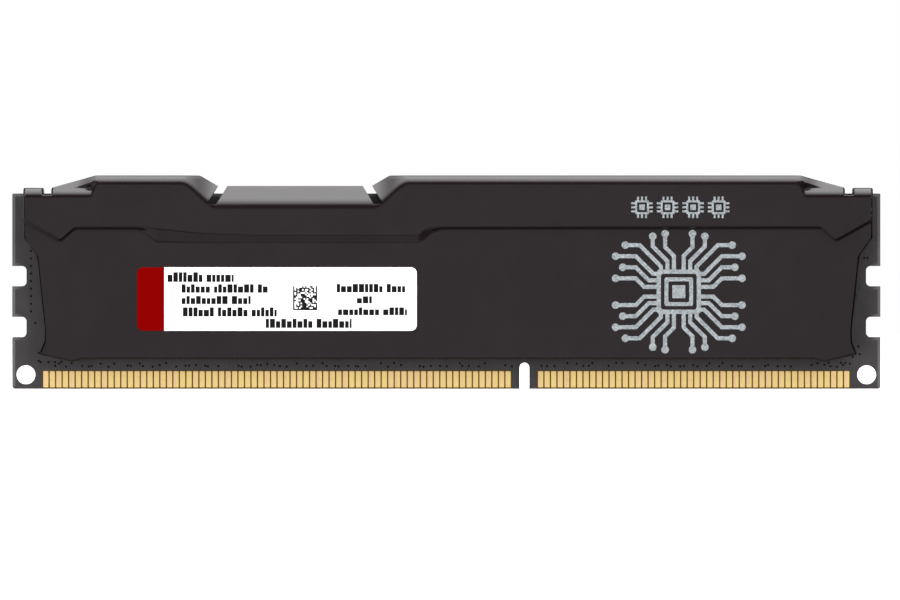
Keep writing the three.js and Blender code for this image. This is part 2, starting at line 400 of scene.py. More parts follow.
def board_lacquer():
    surface = Surface("board_lacquer", IOR=1.5)
    threads = [surface.math("MULTIPLY", surface.axis(axis), 13.0) for axis in "XZ"]
    weave = surface.math("MULTIPLY", *[surface.math("SINE", thread) for thread in threads])
    mottle = surface.spread(surface.noise(0.4, 3))
    lacquer = surface.mix(mottle, (50, 48, 48), (56, 53, 54))
    bare = surface.mix(surface.noise(5, 2), (78, 76, 76), (92, 90, 90))
    coated = surface.mix(surface.value(), lacquer, bare)
    depth = surface.math("ABSOLUTE", surface.axis("Y"))
    layers = surface.math("SINE", surface.math("MULTIPLY", depth, 26.0))
    glass = surface.mix(surface.noise(3, 3, (1, 8, 1)), (70, 62, 44), (98, 88, 62))
    laminate = surface.mix(surface.span(layers, 0.8, 0.95), glass, (150, 98, 56))
    colour = surface.mix(surface.span(depth, 0.55, 0.565), laminate, coated)
    roughness = surface.spread(surface.noise(1.1, 3), 0.34, 0.5)
    normal = surface.bump(weave, 0.0015, surface.bump(surface.noise(6, 2), 0.002))
    return surface.finish(colour, roughness, normal)


def contact_gold():
    surface = Surface("contact_gold", Metallic=0.5)
    across = surface.span(surface.math("FRACT", surface.axis("X")), 0.45, 0.7, 1.0, 0.0)
    blush = surface.math("MULTIPLY", surface.value(), across)
    plating = surface.mix(blush, (250, 224, 140), (252, 208, 162))
    streaks = surface.span(surface.noise(7, 3, (1, 1, 0.12)), 0.3, 0.75)
    stain = surface.span(surface.noise(1.8, 4), 0.58, 0.75, 0.0, 0.25)
    stained = surface.mix(stain, plating, (196, 156, 98))
    colour = surface.mix(surface.math("MULTIPLY", streaks, 0.18), stained, (212, 176, 120))
    roughness = surface.span(streaks, 0.0, 1.0, 0.36, 0.5)
    normal = surface.bump(streaks, 0.0005)
    return surface.finish(colour, roughness, normal)


def bare_laminate():
    """The uncoated glass and resin between the contacts."""
    surface = Surface("bare_laminate", Specular_IOR_Level=0.0)
    fibre = (4, 3, (1, 1, 0.2))
    return surface.grained((64, 45, 0), (90, 66, 6), fibre, 6, 0.5, 0.7)


# Near-black discs on the board where the plated holes come out: painted shade that stands in for
# the dark inside of the holes, which are not cut.
def via_hole_shade():
    surface = Surface("via_hole_shade", Specular_IOR_Level=0.05)
    return surface.grained((4, 4, 4), (16, 15, 14), (4, 2), 7, 0.45, 0.65)


def chip_moulding():
    surface = Surface("chip_moulding")
    filler = surface.noise(14, 3)
    colour = surface.mix(surface.span(filler, 0.35, 0.7), (30, 30, 32), (50, 50, 52))
    roughness = surface.spread(surface.noise(2, 3), 0.48, 0.66)
    return surface.finish(colour, roughness, surface.bump(filler, 0.006))


def chip_substrate():
    surface = Surface("chip_substrate")
    return surface.grained((38, 52, 34), (58, 70, 44), (3, 3), 5, 0.35, 0.55)


def solder():
    surface = Surface("solder", Metallic=1.0)
    colour = surface.mix(surface.noise(6, 3), (176, 178, 178), (214, 214, 210))
    roughness = surface.spread(surface.noise(9, 2), 0.25, 0.5)
    normal = surface.bump(surface.noise(8), 0.004)
    return surface.finish(colour, roughness, normal)


def resistor_glaze():
    surface = Surface("resistor_glaze")
    return surface.grained((16, 16, 18), (34, 34, 36), (5, 3), 4, 0.2, 0.4)


def capacitor_ceramic():
    surface = Surface("capacitor_ceramic")
    return surface.grained((132, 96, 66), (158, 122, 88), (6, 3), 8, 0.4, 0.6)


def thermal_tape():
    surface = Surface("thermal_tape")
    fibre = surface.noise(5, 4, (1, 1, 0.3))
    colour = surface.mix(fibre, (138, 140, 138), (176, 176, 172))
    roughness = surface.spread(fibre, 0.7, 0.9)
    return surface.finish(colour, roughness, surface.bump(fibre, 0.02))


def label_paper(stripe):
    """White polyester label stock, printed red to the left of the stripe's edge."""
    surface = Surface("label_paper", Specular_IOR_Level=0.01)
    fibre = surface.noise(7, 3)
    paper = surface.mix(fibre, (250, 250, 250), (255, 255, 255))
    red = surface.mix(surface.noise(3, 3), (110, 1, 0), (115, 2, 1))
    past_stripe = surface.span(surface.axis("X"), stripe - STRIPE_BLUR, stripe + STRIPE_BLUR)
    colour = surface.mix(past_stripe, red, paper)
    roughness = surface.spread(fibre, 0.42, 0.58)
    return surface.finish(colour, roughness, surface.bump(fibre, 0.001))


def label_ink():
    surface = Surface("label_ink", Specular_IOR_Level=0.1)
    return surface.grained((8, 8, 8), (30, 28, 28), (8, 3), 6, 0.4, 0.6)


def silver_print():
    surface = Surface("silver_print", Metallic=0.25)
    flake = surface.node("SeparateColor", {0: surface.cells(6.5)}).outputs[0]
    colour = surface.mix(flake, (116, 122, 126), (176, 182, 186))
    roughness = surface.span(flake, 0.0, 1.0, 0.35, 0.6)
    return surface.finish(colour, roughness, surface.bump(flake, 0.004))


def studio_floor():
    surface = Surface("studio_floor")
    return surface.grained((226, 225, 225), (230, 229, 229), (0.01, 3), 0.05, 0.85, 0.95)


# ---- Camera, lights and floor ----

VIEW_WIDTH = 138.27
LENS = 700
SENSOR = 36
AIM = Vector((0.57, 0, 13.63))


def make_camera():
    data = bpy.data.cameras.new("camera")
    data.lens = LENS
    data.sensor_width = SENSOR
    data.clip_start = 0.01
    data.clip_end = 30
    camera = add_object("camera", data)
    distance = VIEW_WIDTH * LENS / SENSOR
    camera.location = (AIM - Vector((0, distance, 0))) * MM
    camera.rotation_euler = Euler((math.radians(90), 0, 0))
    bpy.context.scene.camera = camera


# The studio's brightness at each height of a direction, from straight down (-1) to straight up (1):
# a band below the module, one level with it, and a large light overhead.
STUDIO_BAND = [
    (-0.9, 0.02), (-0.84, 0.45), (-0.42, 0.45), (-0.34, 0.02), (-0.2, 0.02), (-0.1, 0.6),
    (0.08, 0.6), (0.18, 0.02),
]
STUDIO_TOP = [(0.6, 0), (0.74, 2.2), (0.86, 3.6), (1, 5.6)]
# The bands' share at each side of a direction, from left (-1) to right (1) as the front is seen.
STUDIO_SIDES = [(-1, 1.5), (-0.5, 1.3), (-0.15, 1), (0.15, 1), (0.35, 0.2), (1, 0.1)]
# Towards the rear the sides become alike, over this range of Y.
TURN_OVER = (0.35, 0.65)
# Soft lights on each side of the module, in metres: a key light low on the left and a fill light
# higher on the right, each as (place, with Y towards its side, width, height, power).
SOFTBOXES = {"key": ((-0.8, 0.62, -0.22), 0.5, 0.8, 14), "fill": ((0.7, 0.62, 0.4), 0.6, 0.6, 11)}
FLOOR_REACH = 4000


def light_ramp(tree, value, stops):
    """A brightness read off stops of (value from -1 to 1, brightness)."""
    share = add_node(tree, "MapRange", {"Value": value, "From Min": -1}).outputs["Result"]
    ramp = add_node(tree, "ValToRGB", {0: share})
    elements = ramp.color_ramp.elements
    elements[0].position = 0
    elements.remove(elements[1])
    for level, brightness in stops:
        element = elements.new((level + 1) / 2)
        element.color = (brightness, brightness, brightness, 1)
    elements[0].color = elements[1].color
    return ramp.outputs["Color"]


def make_world():
    """A white backdrop for the camera, and a studio of soft light for everything else."""
    world = bpy.data.worlds.new("studio")
    bpy.context.scene.world = world
    world.use_nodes = True
    tree = world.node_tree
    tree.nodes.clear()
    direction = add_node(tree, "TexCoord").outputs["Generated"]
    axes = add_node(tree, "SeparateXYZ", {0: direction}).outputs
    limits = {"From Min": TURN_OVER[0], "From Max": TURN_OVER[1], "To Min": 1, "To Max": 0}
    turn = add_node(tree, "MapRange", {"Value": axes["Y"], **limits}).outputs["Result"]
    inputs = {0: axes["X"], 1: turn}
    sideways = add_node(tree, "Math", inputs, operation="MULTIPLY").outputs[0]
    inputs = {
        0: light_ramp(tree, axes["Z"], STUDIO_BAND),
        1: light_ramp(tree, sideways, STUDIO_SIDES),
        2: light_ramp(tree, axes["Z"], STUDIO_TOP),
    }
    light = add_node(tree, "VectorMath", inputs, operation="MULTIPLY_ADD").outputs[0]
    studio = add_node(tree, "Background", {"Color": light}).outputs[0]
    backdrop = add_node(tree, "Background", {"Color": (1, 1, 1, 1)}).outputs[0]
    seen = add_node(tree, "LightPath").outputs["Is Camera Ray"]
    chosen = add_node(tree, "MixShader", {0: seen, 1: studio, 2: backdrop}).outputs[0]
    add_node(tree, "OutputWorld", {"Surface": chosen})


def make_softbox(name, at, width, height, power):
    """A soft light on the module's middle, which neither the camera nor a shiny surface sees."""
    data = bpy.data.lights.new(name, "AREA")
    data.shape = "RECTANGLE"
    data.size = width
    data.size_y = height
    data.energy = power
    light = add_object(name, data)
    light.location = at
    light.rotation_euler = (AIM * MM - Vector(at)).to_track_quat("-Z", "Y").to_euler()
    light.visible_camera = False
    light.visible_glossy = False


def make_lights():
    for side in SIDES.values():
        for name, ((x, y, z), width, height, power) in SOFTBOXES.items():
            make_softbox(f"{name}_{side}", (x, y * side, z), width, height, power)


def make_floor():
    edge = [(x * FLOOR_REACH, z * FLOOR_REACH, 0) for x, z in ((-1, -1), (1, -1), (1, 1), (-1, 1))]
    mesh = bpy.data.meshes.new("floor")
    mesh.from_pydata([Vector(corner) * MM for corner in edge], [], [(0, 1, 2, 3)])
    mesh.materials.append(studio_floor())
    floor = add_object("floor", mesh)
    floor.visible_diffuse = False
    floor.visible_glossy = False
    floor.visible_shadow = False


# ---- Circuit board ----

# How far a thin layer reaches into what it lies on.
SUNK = 0.01
RIM_WIDTH = 0.38
RIM_SLOPE = 0.1
RIM_DEPTH = 0.03
EDGE_CHAMFER = 0.04
VIA_RADIUS = 0.17
VIA_HEIGHT = 0.012
VIA_COLUMN = {"x": -63.8, "low": 11.9, "pitch": 1.16, "count": 9}
LOOSE_VIAS = [
    (-63.1, 10.1), (-62.6, 5.5), (-62.6, 4.3), (64.7, 20.1), (64.2, 20.1), (63.3, 20.4),
    (63.3, 6.5), (63.5, 5.3), (62.4, 4.9),
]
# Vias above most contacts, at one of these heights, and beside the groups at these places along X.
VIA_SHARE = 0.85
VIA_LINES = (3.45, 3.45, 3.6, 3.9)
END_VIAS = (-62.3, -61.1, -60.1, -59.1, 58.7, 60.6, 61.3)
END_VIA_LINE = 4.05
KEY_CLEARANCE = 1.3
TRACE_SHARE = 0.8
TRACE_WIDTH = 0.13
TRACE_HEIGHT = 0.008
TRACE_VALUE = 0.12
LONG_TRACES = (62.5, 62.95, 63.4)
# The strip without lacquer round a group of contacts: past its sides and top, and its low edge.
BARE_STRIP = {"side": 0.15, "top": 0.08, "low": 0.02}


def board_outline(drawn_in):
    """The board's edge, drawn in by an amount, anticlockwise from the key notch."""
    key_radius = KEY_NOTCH["width"] / 2
    key_top = KEY_NOTCH["depth"] - key_radius
    key_arc = arc(KEY_NOTCH["x"], key_top, key_radius + drawn_in, 0, 180, 16)
    key_left, key_right = key_arc[-1][0], key_arc[0][0]
    edge = HALF_LENGTH - drawn_in
    radius = max(BOARD_CORNER - drawn_in, 0.01)
    right = arc(edge - radius, drawn_in + radius, radius, -90, 0)
    corner = LATCH_NOTCH["corner"]
    centre = HALF_LENGTH - LATCH_NOTCH["depth"] + corner
    for z in LATCH_NOTCH["heights"]:
        low = z - LATCH_NOTCH["height"] / 2
        high = z + LATCH_NOTCH["height"] / 2
        right.append((edge, low - drawn_in))
        right += reversed(arc(centre, low + corner, corner + drawn_in, 180, 270))
        right += reversed(arc(centre, high - corner, corner + drawn_in, 90, 180))
        right.append((edge, high + drawn_in))
    radius = max(BOARD_TOP_CORNER - drawn_in, 0.01)
    right += arc(edge - radius, BOARD_HEIGHT - drawn_in - radius, radius, 0, 90, 4)
    left = [(-x, z) for x, z in reversed(right)]
    return [(key_left, drawn_in), *reversed(key_arc), (key_right, drawn_in), *right, *left]


def board_holes():
    """The two corner holes, clockwise."""
    centre = HALF_LENGTH - CORNER_HOLE["inset"]
    return [
        list(reversed(circle(side * centre, CORNER_HOLE["height"], CORNER_HOLE["radius"], 48)))
        for side in (-1, 1)
    ]


def via_places():
    """Where the plated holes come out, as (x, z)."""
    column = VIA_COLUMN
    places = [(column["x"], column["low"] + column["pitch"] * i) for i in range(column["count"])]
    places += LOOSE_VIAS
    for first, count in CONTACT_GROUPS.values():
        for i in range(count):
            if rng.random() < VIA_SHARE:
                x = first + (i + rng.choice((0, 0.5))) * CONTACT_PITCH + rng.uniform(-0.12, 0.12)
                places.append((x, rng.choice(VIA_LINES) + rng.uniform(-0.08, 0.08)))
    for x in END_VIAS:
        places.append((x, END_VIA_LINE + rng.uniform(-0.1, 0.1)))
    return [(x, z) for x, z in places if abs(x - KEY_NOTCH["x"]) > KEY_CLEARANCE]


def trace_lines():
    """Copper lines under the lacquer: short ones over the contacts, long ones by the right edge."""
    lines = []
    for first, count in CONTACT_GROUPS.values():
        for i in range(count):
            x = first + i * CONTACT_PITCH
            if rng.random() < TRACE_SHARE:
                jog = rng.choice((-0.25, 0, 0.25))
                top = rng.uniform(3.3, 4.4)
                lines.append([(x, CONTACT_HIGH), (x, 2.95), (x + jog, 3.2), (x + jog, top)])
    for i, x in enumerate(LONG_TRACES):
        end = x + 0.5
        lines.append([(x, 6.6 + 0.5 * i), (x, 13.5 + i), (end, 14.2 + i), (end, 16 - 0.4 * i)])
    return lines


def make_board(lacquer, ink_and_hole_shade, laminate):
    """The board, whose rim is bare and a little lower than its lacquered faces."""
    shape = Shape()
    bare = SURFACE - RIM_DEPTH
    near_side = [
        (0, bare - EDGE_CHAMFER), (EDGE_CHAMFER, bare), (RIM_WIDTH, bare),
        (RIM_WIDTH + RIM_SLOPE, SURFACE),
    ]
    rings = [(amount, -distance) for amount, distance in reversed(near_side)] + near_side
    levels = [([board_outline(amount), *board_holes()], distance) for amount, distance in rings]
    vertices, faces = stacked(levels, FRONT)
    rim_x, rim_z = HALF_LENGTH - RIM_WIDTH - SUNK, BOARD_HEIGHT - RIM_WIDTH - SUNK
    values = [float(abs(x) > rim_x or z > rim_z) for x, _, z in vertices]
    shape.add(vertices, faces, 0, values)
    near = SURFACE - SUNK
    margin = CONTACT_WIDTH / 2 + BARE_STRIP["side"]
    low, high = BARE_STRIP["low"], CONTACT_HIGH + BARE_STRIP["top"]
    for side in SIDES.values():
        for first, count in CONTACT_GROUPS.values():
            last = first + (count - 1) * CONTACT_PITCH
            strip = rounded_rectangle(first - margin, last + margin, low, high, 0.1)
            shape.add(*slab(strip, bare - SUNK, SURFACE + 0.004, side), 2)
        # Each via is a near-black disc: painted shade for the inside of a hole.
        for x, z in via_places():
            dot = circle(x, z, VIA_RADIUS, 14)
            shape.add(*slab(dot, near, SURFACE + VIA_HEIGHT, side), 1)
        for line in trace_lines():
            track = slab(stroke(line, TRACE_WIDTH), near, SURFACE + TRACE_HEIGHT, side)
            shape.add(*track, 0, TRACE_VALUE)
    mesh = shape.mesh("circuit_board", [lacquer, ink_and_hole_shade, laminate], 10)
    place("circuit_board", mesh, ["pcb_board"])


def make_contacts(gold):
    for side_name, side in SIDES.items():
        for group, (first, count) in CONTACT_GROUPS.items():
            shape = Shape()
            for i in range(count):
                x = first + i * CONTACT_PITCH
                half = CONTACT_WIDTH / 2
                loop = rounded_rectangle(x - half, x + half, CONTACT_LOW, CONTACT_HIGH, 0.1, 3)
                near = SURFACE - RIM_DEPTH - SUNK
                vertices, faces = slab(loop, near, SURFACE + CONTACT_THICKNESS, side, 0.035)
                shape.add(vertices, faces, 0, rng.uniform(0.2, 1))
            name = f"gold_contacts_{side_name}_{group}"
            place(name, shape.mesh(name, [gold]), [f"contacts_{side_name}_{group}"])


# ---- Heat spreader ----

PLAN_ROUNDING = 0.25
STEP_RADIUS = 0.18
# The recess between the two end bands: its lean, and where the second band comes forward.
RECESS_TILT = 0.25
SECOND_BAND_FORWARD = (-57, -53.9)
# The outside radius of the fold and of the first band's top edge, as points of (x, radius).
FOLD_RADIUS = [
    (-65.2, 2), (-54.9, 2), (-53.9, 1.8), (-41, 1.8), (-36, 2.4),
    (-11, 2.4), (-6, 1.8), (53.9, 1.8), (54.9, 2), (65.2, 2),
]
BAND_TOP_RADIUS = [
    (-65.2, 1.5), (-61, 1.5), (-60.8, 0.15), (-55, 0.15), (-53, 1.5), (-41, 1.5), (-36, 0.5),
    (-11, 0.5), (-6, 1.5), (53, 1.5), (55, 0.15), (60.8, 0.15), (61, 1.5), (65.2, 1.5),
]
BEND_POINTS = 8
# Columns shift sideways from this far out, and within this distance of a slot.
WARP_FROM = 55
SLOT_WARP = 3.0
WARP_PASSES = 12
# The strip along every cut edge, which is wider than the edge's rounding.
RIM_MARGIN = 0.34
EDGE_ROUNDING = 0.26
SLOT_ROUNDING = 0.1
SECOND_BAND_RADII = (0.15, 0.6)
INSIDE_FOLD_RADIUS = 1
INSIDE_RADIUS = 0.3
# Where the rows change their spacing beside the step and the fold, and how many lie between.
STEP_MARGIN = 0.5
FOLD_MARGIN = 1.4
SECTION_COUNTS = [1, 30, 12, 6, 56]
SHORTEST_EDGE = 0.02
# How much of the line beside a corner its rounding may take up.
MOST_REACH = 0.49
# The width of a column, and how far from the middle the fine ones begin.
FINE_COLUMN, WIDE_COLUMN, LEAST_COLUMN = 0.25, 0.6, 0.08
FINE_FROM = 53


def along(line, x, column=1):
    """The value at x on a line through points of (x, value, ...)."""
    return float(np.interp(x, [point[0] for point in line], [point[column] for point in line]))


def rounded_along(line, x, column=1):
    """The same, with the line's corners rounded off."""
    return sum(along(line, x + step * PLAN_ROUNDING, column) for step in (-1, -0.5, 0, 0.5, 1)) / 5


def smooth(value, low, high):
    """A smooth climb from 0 to 1 as the value goes from low to high."""
    share = min(max((value - low) / (high - low), 0), 1)
    return share * share * (3 - 2 * share)


def fold_height(x):
    return END_FOLD + sum(rise * smooth(x, start, end) for start, end, rise in FOLD_RAMPS)


def flange_corners(x, fold, crest):
    """The outside of the flange at x: a band that leans back from the fold, and then the flat top.
    Towards the ends there are two such bands, with a recess between them that closes inwards."""
    fold_radius = along(FOLD_RADIUS, x)
    band_top_radius = along(BAND_TOP_RADIUS, x)
    closed = smooth(-abs(x), *FOLD_RAMPS[0][:2])
    if closed == 1:
        band_top = (UPPER_FACE - (crest - fold), crest, band_top_radius)
        return [(UPPER_FACE, fold, fold_radius), band_top, (SEAM, crest, 0)]
    back = UPPER_FACE - END_BAND * (1 - closed)
    recess = END_FOLD + END_BAND
    second = min(END_BAND, crest - recess)
    depth = END_BAND + RECESS_TILT * (crest - second - recess)
    front = UPPER_FACE - depth * (1 - smooth(-abs(x), *SECOND_BAND_FORWARD))
    low_radius, top_radius = SECOND_BAND_RADII
    return [
        (UPPER_FACE, END_FOLD + closed, fold_radius), (back, recess + closed / 2, band_top_radius),
        (front, crest - second, low_radius), (front - second, crest, top_radius), (SEAM, crest, 0),
    ]


def sheet_section(x):
    """The bent sheet's section at x: its outside and its inside, as corners of (distance, height,
    radius), and the heights where its rows change their spacing."""
    fold = fold_height(x)
    crest = along(CREST_LINE, x)
    step = rounded_along(STEP_LINE, x)
    step_top = step + rounded_along(STEP_LINE, x, 2)
    bottom = along(BOTTOM_EDGE, abs(x))
    drop = SHEET * (math.sqrt(2) - 1)
    ceiling = crest - SHEET
    lean = END_BAND if abs(x) > -FOLD_RAMPS[0][1] else crest - fold
    lean_top = min(fold + lean - drop, ceiling)
    inner_face, inner_fold = UPPER_FACE - SHEET, fold - drop
    inner_wall = max(inner_face - (lean_top - fold + drop), SEAM)
    outside = [
        (LOWER_FACE, bottom, 0), (LOWER_FACE, step, STEP_RADIUS),
        (UPPER_FACE, step_top, STEP_RADIUS), *flange_corners(x, fold, crest),
    ]
    inside = [
        (LOWER_FACE - SHEET, bottom, 0), (LOWER_FACE - SHEET, step, STEP_RADIUS),
        (inner_face, step_top, STEP_RADIUS), (inner_face, inner_fold, INSIDE_FOLD_RADIUS),
        (inner_wall, lean_top, INSIDE_RADIUS), (inner_wall, ceiling, INSIDE_RADIUS),
        (SEAM, ceiling, 0),
    ]
    heights = [
        bottom, bottom + RIM_MARGIN, step - STEP_MARGIN, step_top + STEP_MARGIN,
        fold - FOLD_MARGIN,
    ]
    return outside, inside, heights


def bent_line(corners):
    """A line through corners of (distance, height, radius), each rounded by its radius."""
    distinct = [corners[0]]
    for corner in corners[1:]:
        if math.dist(corner[:2], distinct[-1][:2]) > SHORTEST_EDGE:
            distinct.append(corner)
    if math.dist(distinct[-1][:2], corners[-1][:2]) > 0:
        distinct[-1] = corners[-1]
    points = [np.array(distinct[0][:2])]
    for before, corner, after in zip(distinct, distinct[1:], distinct[2:]):
        here = np.array(corner[:2])
        back = np.array(before[:2]) - here
        ahead = np.array(after[:2]) - here
        back_length, ahead_length = np.linalg.norm(back), np.linalg.norm(ahead)
        turn = math.pi - math.acos(np.clip(back @ ahead / (back_length * ahead_length), -1, 1))
        most = MOST_REACH * min(back_length, ahead_length)
        reach = min(corner[2] * math.tan(turn / 2), most)
        first = here + back / back_length * reach
        last = here + ahead / ahead_length * reach
        for t in np.linspace(0, 1, BEND_POINTS + 1):
            points.append((1 - t) ** 2 * first + 2 * t * (1 - t) * here + t * t * last)
    points.append(np.array(distinct[-1][:2]))
    return np.array(points)


def rows_of(corners, heights):
    """A bent line, cut into the same number of rows whatever its shape."""
    line = bent_line(corners)
    lengths = np.concatenate([[0], np.cumsum(np.linalg.norm(np.diff(line, axis=0), axis=1))])
    climbing = np.maximum.accumulate(line[:, 1])
    marks = [float(np.interp(height, climbing, lengths)) for height in heights] + [lengths[-1]]
    stations = [0.0]
    for low, high, count in zip(marks, marks[1:], SECTION_COUNTS):
        stations += list(np.linspace(low, high, count + 1)[1:])
    stations.insert(len(stations) - 1, stations[-1] - RIM_MARGIN)
    stations = sorted(stations)
    return np.stack([np.interp(stations, lengths, line[:, axis]) for axis in (0, 1)], 1)


def spreader_columns():
    """The sheet's columns along X, closer on the ramps and beside each cut."""
    slots = FLANGE_SLOTS
    cuts = [side * edge for side in (-1, 1) for edge in (TAB_GAP["inner"], TAB_GAP["outer"])]
    edges = (slots["inner"], slots["outer"])
    cuts += [slots["centre"] + side * edge for side in (-1, 1) for edge in edges]
    marks = {side * x for side in (-1, 1) for x in (SPREADER_END, SPREADER_END - RIM_MARGIN)}
    marks |= {cut + step for cut in cuts for step in (-RIM_MARGIN, 0, RIM_MARGIN)}
    marks |= {x for ramp in FOLD_RAMPS for x in ramp[:2]}
    marks |= {point[0] for line in (CREST_LINE, STEP_LINE) for point in line}
    marks |= {side * x for side in (-1, 1) for x, _ in BOTTOM_EDGE[1:4]}
    ordered = sorted(marks)
    kept = [ordered[0]]
    for mark in ordered[1:]:
        if mark - kept[-1] > LEAST_COLUMN or mark in cuts:
            kept.append(mark)
    columns = []
    for left, right in zip(kept, kept[1:]):
        on_ramp = any(start - 0.1 < left < end for start, end, _ in FOLD_RAMPS)
        widest = FINE_COLUMN if on_ramp or abs(left) > FINE_FROM else WIDE_COLUMN
        steps = max(1, math.ceil((right - left) / widest))
        columns += [left + (right - left) * i / steps for i in range(steps)]
    return [*columns, kept[-1]]


def warped(u, z):
    """Where columns u run at heights z: along the plate's side edge, and leaning beside a slot."""
    heights, edges = zip(*SIDE_EDGE)
    share = np.maximum(np.abs(u) - WARP_FROM, 0) / (edges[-1] - WARP_FROM)
    drawn_in = share * (edges[-1] - np.interp(z, heights, edges))
    slots = FLANGE_SLOTS
    offset = u - slots["centre"]
    middle = (slots["inner"] + slots["outer"]) / 2
    beyond = np.abs(np.abs(offset) - middle) - (slots["outer"] - slots["inner"]) / 2
    share = np.clip(1 - np.maximum(beyond, 0) / SLOT_WARP, 0, 1)
    leaned = share * slots["slant"] * np.maximum(z - slots["low"], 0)
    return u - np.sign(u) * drawn_in - np.sign(offset) * leaned


def spreader_grid(columns):
    """The outside and inside of the sheet, as arrays of x, distance and z by column and row."""
    u = np.array(columns)
    sections = [sheet_section(column) for column in columns]
    grids = []
    for which in (0, 1):
        plain = np.array([rows_of(section[which], section[2]) for section in sections])
        grid = np.zeros((*plain.shape[:2], 3))
        for row in range(plain.shape[1]):
            distances, heights = plain[:, row, 0], plain[:, row, 1]
            x = u
            for _ in range(WARP_PASSES):
                x = warped(u, np.interp(x, u, heights))
            grid[:, row] = np.stack([x, np.interp(x, u, distances), np.interp(x, u, heights)], 1)
        grids.append(grid)
    return grids


def in_slot(columns, i, beside=1.0):
    """Whether a column of cells lies in a slot, or within a distance beside it."""
    offset = abs((columns[i] + columns[i + 1]) / 2 - FLANGE_SLOTS["centre"])
    return FLANGE_SLOTS["inner"] - beside < offset < FLANGE_SLOTS["outer"] + beside


def kept_cells(columns, outside):
    """Which cells of the sheet are there, once its slots and tab gaps are cut."""
    heights = (outside[:-1, :-1, 2] + outside[:-1, 1:, 2]) / 2
    kept = np.ones(heights.shape, bool)
    for i in range(len(columns) - 1):
        if in_slot(columns, i, 0):
            kept[i] &= heights[i] < FLANGE_SLOTS["low"]
        if TAB_GAP["inner"] < abs(columns[i] + columns[i + 1]) / 2 < TAB_GAP["outer"]:
            kept[i] &= heights[i] < TAB_GAP["low"]
    return kept


def spreader_shape(side):
    columns = spreader_columns()
    outside, inside = spreader_grid(columns)
    kept = kept_cells(columns, outside)
    rows = len(outside[0])
    points = np.concatenate([outside.reshape(-1, 3), inside.reshape(-1, 3)])
    vertices = [(x + SPREADER_MIDDLE, side * distance, z) for x, distance, z in points]
    shift = len(columns) * rows
    faces = []
    rim = {}
    for i in range(len(columns) - 1):
        for j in range(rows - 1):
            if not kept[i, j]:
                continue
            corners = [i * rows + j, (i + 1) * rows + j, (i + 1) * rows + j + 1, i * rows + j + 1]
            faces.append(corners)
            faces.append([corner + shift for corner in reversed(corners)])
            beside = [(i, j - 1), (i + 1, j), (i, j + 1), (i - 1, j)]
            for edge, (ni, nj) in enumerate(beside):
                inside_sheet = 0 <= ni < len(columns) - 1 and 0 <= nj < rows - 1
                if inside_sheet and kept[ni, nj]:
                    continue
                a, b = corners[edge], corners[(edge + 1) % 4]
                faces.append((b, a, a + shift, b + shift))
                rounding = SLOT_ROUNDING if inside_sheet and in_slot(columns, i) else 1.0
                rim.update(dict.fromkeys((a, b, a + shift, b + shift), rounding))
    shape = Shape()
    shape.add(vertices, faces, 0, [rim.get(corner, 0.0) for corner in range(len(vertices))])
    return shape


def make_spreaders(aluminium):
    for side_name, side in SIDES.items():
        name = f"stamped_spreader_{side_name}"
        mesh = spreader_shape(side).mesh(name, [aluminium], 180)
        piece = place(name, mesh, [f"{side_name}_heat_spreader"])
        round_edges(piece, EDGE_ROUNDING)


# ---- Label and prints ----

LABEL_LOW, LABEL_HIGH = box_of("label")
LABEL_STRIPE = SPREADER_MIDDLE - 43.55
LABEL_CORNER = 0.9
STRIPE_BLUR = 0.04
# Rows of greeked text, as (left, right, low, high).
TEXT_ROWS = [
    (-43.05, -32.9, 16.4, 17.9), (-40.9, -27.7, 14.75, 16.05), (-40.9, -30.3, 13.0, 14.25),
    (-40.7, -26.3, 11.1, 12.5), (-17.1, -6.6, 14.8, 16.1), (-14.0, -11.7, 13.1, 14.2),
    (-16.9, -6.3, 11.3, 12.5), (-28.0, -14.8, 9.35, 10.75),
]
BLOCK_WIDTH = (0.5, 0.85)
LEAST_BLOCK = 0.3
SHORT_BLOCK = 0.74
BLOCK_GAP = 0.13
WORD_GAP = 0.5
BLOCKS_TO_SPACE = (5, 9)
CODE = {"left": -23.8, "low": 12.06, "cells": 16, "size": 0.232, "filled": 0.64}
SILVER_CENTRE = SPREADER_MIDDLE + 35.4
PRINT_LIFT = 0.02


def make_label():
    shape = Shape()
    loop = rounded_rectangle(LABEL_LOW.x, LABEL_HIGH.x, LABEL_LOW.z, LABEL_HIGH.z, LABEL_CORNER, 8)
    face = -LABEL_LOW.y
    shape.add(*slab(loop, LOWER_FACE, face - PRINT_LIFT, FRONT, 0.03))
    mesh = shape.mesh("label_stock", [label_paper(LABEL_STRIPE)])
    place("label_stock", mesh, ["label"])
    ink_and_hole_shade = Shape()
    for left, right, low, high in TEXT_ROWS:
        add_greeked_row(ink_and_hole_shade, SPREADER_MIDDLE + left, SPREADER_MIDDLE + right, low, high, face)
    add_code(ink_and_hole_shade, face)
    place("label_ink", ink_and_hole_shade.mesh("label_ink", [label_ink()]))


def add_ink(shape, left, right, low, high, face):
    loop = [(left, low), (right, low), (right, high), (left, high)]
    shape.add(*slab(loop, face - PRINT_LIFT - 0.005, face - 0.006, FRONT))


def add_greeked_row(shape, left, right, low, high, face):
    """A row of plain blocks of two heights, close together, which stands for a line of print."""
    x = left
    until_space = rng.randint(*BLOCKS_TO_SPACE)
    while x < right - LEAST_BLOCK:
        width = min(rng.uniform(*BLOCK_WIDTH), right - x)
        top = high if rng.random() < 0.5 else low + SHORT_BLOCK * (high - low)
        add_ink(shape, x, x + width, low, top, face)
        x += width + BLOCK_GAP
        until_space -= 1
        if until_space == 0:
            x += WORD_GAP
            until_space = rng.randint(*BLOCKS_TO_SPACE)


def add_code(shape, face):
    """A square of seeded random cells that stands for a machine-readable code."""
    cells, size = CODE["cells"], CODE["size"]
    for row in range(cells):
        for column in range(cells):
            on_frame = column == 0 or row == 0
            if on_frame or rng.random() < CODE["filled"]:
                left = SPREADER_MIDDLE + CODE["left"] + column * size
                low = CODE["low"] + row * size
                add_ink(shape, left, left + size, low, low + size, face)


